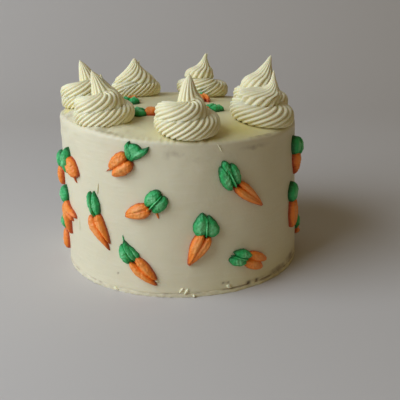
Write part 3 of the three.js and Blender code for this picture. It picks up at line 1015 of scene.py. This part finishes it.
def body_point(angle, radius, height, part):
    """A place on the frosted body with its marks: position, thinness with the seam's painted shade, crumb,
    and the shares of painted top shade and painted bounce light.
    """
    degrees_round = math.degrees(angle)
    side = Vector((math.sin(angle), -math.cos(angle), 0))
    spot = side * radius + Vector((0, 0, height))
    thin, crumb, top, butter = 0.0, 0.0, 0.0, 0.0
    if part == "bottom":
        return spot, thin, crumb, top, butter
    if part == "top":
        smear = smear_share(degrees_round) * falloff((TOP_RADIUS - radius) / SMEAR_REACH)
        height += top_relief(spot, degrees_round, radius, smear)
        top = 1.0 - smear
    else:
        radius += wall_wave(side, spot, degrees_round, height) * min(height / FOOT_HEIGHT, 1)
    if part == "foot":
        radius = foot_radius(side, degrees_round, radius, height)
    if part == "edge":
        above = (height - (RIM_HEIGHT - EDGE_ROUNDING)) / EDGE_ROUNDING
        lip = rim_lip(degrees_round)
        height += lip * above
        overhang = LIP_OVERHANG * lip * math.sin(math.pi * above)
        radius += overhang * (1 - nearness(PUSHED_RIM, degrees_round))
        top = above ** 3 * (1 - smear_share(degrees_round))
    if part != "top":
        thin = thinness(side, degrees_round, height)
        depth, crumb = crumb_pits(degrees_round, height)
        radius -= depth + thin * THIN_DEPTH
    x = radius * side.x
    y = radius * side.y
    height += (TOP_SLOPE_X * x + TOP_SLOPE_Y * y) * min(height / RIM_HEIGHT, 1)
    # The share of painted yellow bounce light.
    butter = top * nearness_both_ways(BOUNCE_LIT_TOP, degrees_round, radius)
    if part == "top":
        butter += nearness_both_ways(BOUNCE_LIT_RIM, degrees_round, radius)
    else:
        butter += FOOT_BOUNCE_SHARE * nearness_both_ways(BOUNCE_LIT_FOOT, degrees_round, height)
    return Vector((x + LEAN_X * height, y, height)), thin, crumb, top, butter


def body_mesh():
    """The frosted body as one closed skin."""
    rows = body_rows()
    angles = [FULL_TURN * side / BODY_SIDES for side in range(BODY_SIDES)]
    spots = []
    for radius, height, part in rows:
        if radius == 0:
            spots.append(body_point(0, radius, height, part))
        else:
            spots.extend(body_point(angle, radius, height, part) for angle in angles)
    faces = []
    last = len(spots) - 1
    first_ring = 1
    for side in range(BODY_SIDES):
        following = (side + 1) % BODY_SIDES
        faces.append((0, first_ring + following, first_ring + side))
        for ring in range(len(rows) - 3):
            low = first_ring + ring * BODY_SIDES
            high = low + BODY_SIDES
            faces.append((low + side, low + following, high + following, high + side))
        faces.append((last - BODY_SIDES + side, last - BODY_SIDES + following, last))
    mesh = bpy.data.meshes.new("scraped_body")
    mesh.from_pydata([spot[0] for spot in spots], [], faces)
    for index, name in enumerate(("thin", "crumb", "top", "butter"), start=1):
        attribute = mesh.attributes.new(name, "FLOAT", "POINT")
        attribute.data.foreach_set("value", [spot[index] for spot in spots])
    mesh.shade_smooth()
    mesh.materials.append(body_frosting)
    return mesh


# --- Swirls, carrots and small bits ---


def swirl_mesh(number, swirl, trees):
    """One piped swirl: a coiled rope, or a lying one and its cap, with its small second tip."""
    angle = math.radians(swirl.angle)
    common = {
        "Height": swirl.height * MM,
        "Centre X": swirl.ring * MM * math.sin(angle) + LEAN_X * RIM_HEIGHT,
        "Centre Y": -swirl.ring * MM * math.cos(angle),
        "Seed": swirl.seed,
    }
    parts = []
    for tip in SMALL_TIPS:
        if tip.swirl == number:
            sizes = cap_sizes(tip.radius, tip.shift, tip.foot, tip.height, SMALL_TIP_SWING, 0, (tip.tip, 0))
            parts.append(shaped(trees["cap"], common | sizes))
    rope = {
        "Width": swirl.width * MM,
        "Start": math.radians(swirl.start),
        "Twist": swirl.twist,
        "Upper": swirl.upper,
        "Full": swirl.full,
        "Ridge depth": RIDGE_DEPTH,
        "Lean X": swirl.tip[0] * MM,
        "Lean Y": swirl.tip[1] * MM,
    }
    if swirl.cap is None:
        return joined("coiled_swirl", [shaped(trees["coiled"], common | rope)] + parts)
    cap = swirl.cap
    sizes = cap_sizes(cap.radius, cap.shift, cap.foot, swirl.height, cap.swing, cap.shoulder, swirl.tip)
    parts.append(shaped(trees["lying"], common | rope))
    parts.append(shaped(trees["cap"], common | sizes))
    return joined("capped_swirl", parts)


def cap_sizes(radius, shift, foot, height, swing, shoulder, tip):
    """The cap tree's inputs for a ridged cap or for a small second tip."""
    return {
        "Radius": radius * MM,
        "Shift": shift * MM,
        "Foot": foot * MM,
        "Height": height * MM,
        "Swing": swing,
        "Shoulder": shoulder,
        "Ridge depth": CAP_RIDGE_DEPTH,
        "Tip X": tip[0] * MM,
        "Tip Y": tip[1] * MM,
    }


def lobe_sizes(lobe, piped, joint, overlap, seed):
    """The lobe tree's inputs for one lobe of a piped root or leaf."""
    length, width, thickness = (size * MM for size in piped.size)
    return {
        "Length": length * (lobe.length + lobe.before),
        "Width": width * lobe.width,
        "Thickness": thickness * lobe.thick,
        "Side": lobe.side * width / 2,
        "Tip": lobe.tip * width / 2,
        "Fullest": lobe.fullest,
        "Blunt": lobe.blunt,
        "Rough": piped.rough * MM,
        "Overlap": overlap + lobe.before * length,
        "Turn": math.radians(piped.turn),
        "Joint 1": joint[0],
        "Joint 2": joint[1],
        "Seed": seed,
    }


def add_carrots(label, carrots, trees, joint_units):
    """Adds the root and the leaf of each carrot, numbered from 1."""
    for number, carrot in enumerate(carrots, start=1):
        joint = [value * unit for value, unit in zip(carrot.joint, joint_units)]
        for kind, piped, shapes, overlap, slot in (
            ("root", carrot.root, ROOT_SHAPES, ROOT_OVERLAP, "carrot_icing"),
            ("leaf", carrot.leaf, LEAF_SHAPES, LEAF_OVERLAP, "leaf_icing"),
        ):
            node = f"{label}_{kind}_{number:02d}"
            lobes = [
                shaped(trees[kind], lobe_sizes(lobe, piped, joint, overlap, number + order * LOBE_SEED_STEP))
                for order, lobe in enumerate(shapes[piped.shape])
            ]
            add_piece(f"{node}_icing", joined(node, lobes), slot, node)


def add_bits(kind, slot):
    """Adds all the small torn bits of one kind as one piece."""
    meshes = []
    for number, bit in enumerate(BITS):
        if bit.kind == kind:
            joint = (math.radians(bit.joint[0]), bit.joint[1] * MM)
            piped = Piped("bit", bit.turn, bit.size, BIT_ROUGHNESS)
            sizes = lobe_sizes(BIT_LOBE, piped, joint, 0, number)
            meshes.append(shaped(side_trees[kind], sizes))
    add_piece(f"{kind}_bits", joined(f"{kind}_bits", meshes), slot)


add_piece("frosted_body", body_mesh(), "body_frosting", "cake_body")

swirl_trees = {
    "coiled": rope_tree("coiled_rope", COILED_ROPE, swirl_frosting),
    "lying": rope_tree("lying_rope", LYING_ROPE, swirl_frosting),
    "cap": cap_tree("swirl_cap", swirl_frosting),
}
for number, swirl in enumerate(SWIRLS, start=1):
    mesh = swirl_mesh(number, swirl, swirl_trees)
    add_piece(f"swirl_{number}_rope", mesh, "swirl_frosting", f"swirl_{number}")

side_trees = {
    "root": lobe_tree("side_root", on_the_side, carrot_icing),
    "leaf": lobe_tree("side_leaf", on_the_side, leaf_icing),
}
top_trees = {
    "root": lobe_tree("top_root", on_the_top, carrot_icing),
    "leaf": lobe_tree("top_leaf", on_the_top, leaf_icing),
}
add_carrots("side", SIDE_CARROTS, side_trees, (math.radians(1), MM))
add_carrots("top", TOP_CARROTS, top_trees, (MM, MM))

side_trees["frosting"] = lobe_tree("side_frosting", on_the_side, swirl_frosting)
add_bits("root", "carrot_icing")
add_bits("leaf", "leaf_icing")
add_bits("frosting", "swirl_frosting")


# --- Stage, light and camera ---


SHEET_FRONT = -1.6
SHEET_BACK = 0.9
SHEET_WIDTH = 4.0
SHEET_HEIGHT = 2.4
SWEEP_RADIUS = 0.5
SWEEP_STEPS = 16
SHEET_COLOUR = (0.60, 0.56, 0.50, 1)


def stage_sheet():
    """A pale floor that sweeps up behind the cake."""
    sweep_start = SHEET_BACK - SWEEP_RADIUS
    outline = [(SHEET_FRONT, 0), (sweep_start, 0)]
    for step in range(1, SWEEP_STEPS + 1):
        turn = math.pi / 2 * step / SWEEP_STEPS
        outline.append((sweep_start + SWEEP_RADIUS * math.sin(turn), SWEEP_RADIUS * (1 - math.cos(turn))))
    outline.append((SHEET_BACK, SHEET_HEIGHT))
    points = [(x * SHEET_WIDTH / 2, y, z) for y, z in outline for x in (-1, 1)]
    faces = [(2 * row, 2 * row + 1, 2 * row + 3, 2 * row + 2) for row in range(len(outline) - 1)]
    mesh = bpy.data.meshes.new("pale_sweep")
    mesh.from_pydata(points, [], faces)
    mesh.shade_smooth()
    material = bpy.data.materials.new("pale_paper")
    material.use_nodes = True
    surface = material.node_tree.nodes["Principled BSDF"]
    surface.inputs["Base Color"].default_value = SHEET_COLOUR
    surface.inputs["Roughness"].default_value = 0.9
    mesh.materials.append(material)
    sheet = bpy.data.objects.new("pale_sweep", mesh)
    bpy.context.scene.collection.objects.link(sheet)


def soft_light(name, azimuth, elevation, distance, size, power, colour):
    """A square soft light that looks at the cake. Azimuth is measured as the cake's angles are."""
    light = bpy.data.lights.new(name, "AREA")
    light.shape = "SQUARE"
    light.size = size
    light.energy = power
    light.color = colour
    lamp = bpy.data.objects.new(name, light)
    flat = math.cos(math.radians(elevation))
    turn = math.radians(azimuth)
    away = Vector((math.sin(turn) * flat, -math.cos(turn) * flat, math.sin(math.radians(elevation))))
    lamp.location = away * distance + Vector((0, 0, RIM_HEIGHT / 2))
    lamp.rotation_euler = away.to_track_quat("Z", "Y").to_euler()
    bpy.context.scene.collection.objects.link(lamp)


CAMERA_PLACE = Vector((0, -484.9, 207.1)) * MM
CAMERA_YAW = 1.503  # degrees, as the next two
CAMERA_PITCH = 19.533
CAMERA_ROLL = -0.921
FOCAL_PIXELS = 740
FRAME_PIXELS = 400
SENSOR_WIDTH = 36


def add_camera():
    """A camera a little above the top, looking down at the cake."""
    yaw, pitch, roll = (math.radians(angle) for angle in (CAMERA_YAW, CAMERA_PITCH, CAMERA_ROLL))
    forward = Vector((math.sin(yaw) * math.cos(pitch), math.cos(yaw) * math.cos(pitch), -math.sin(pitch)))
    level_right = forward.cross(Vector((0, 0, 1))).normalized()
    level_up = level_right.cross(forward)
    right = level_right * math.cos(roll) + level_up * math.sin(roll)
    up = level_up * math.cos(roll) - level_right * math.sin(roll)
    settings = bpy.data.cameras.new("camera")
    settings.sensor_width = SENSOR_WIDTH
    settings.lens = FOCAL_PIXELS / FRAME_PIXELS * SENSOR_WIDTH
    settings.clip_start = 0.01
    camera = bpy.data.objects.new("camera", settings)
    facing = Matrix((right, up, -forward)).transposed().to_4x4()
    camera.matrix_world = Matrix.Translation(CAMERA_PLACE) @ facing
    bpy.context.scene.collection.objects.link(camera)
    bpy.context.scene.camera = camera


ROOM_COLOUR = (1, 0.77, 0.41, 1)
ROOM_STRENGTH = 0.155


def add_room_light():
    """Dim warm light from all round."""
    world = bpy.data.worlds.new("room")
    world.use_nodes = True
    background = world.node_tree.nodes["Background"]
    background.inputs["Color"].default_value = ROOM_COLOUR
    background.inputs["Strength"].default_value = ROOM_STRENGTH
    bpy.context.scene.world = world


stage_sheet()
soft_light("window", azimuth=-64, elevation=34, distance=1.2, size=1.1, power=17.5, colour=(0.72, 0.82, 1))
add_room_light()
add_camera()
bpy.context.scene.view_settings.view_transform = "Standard"
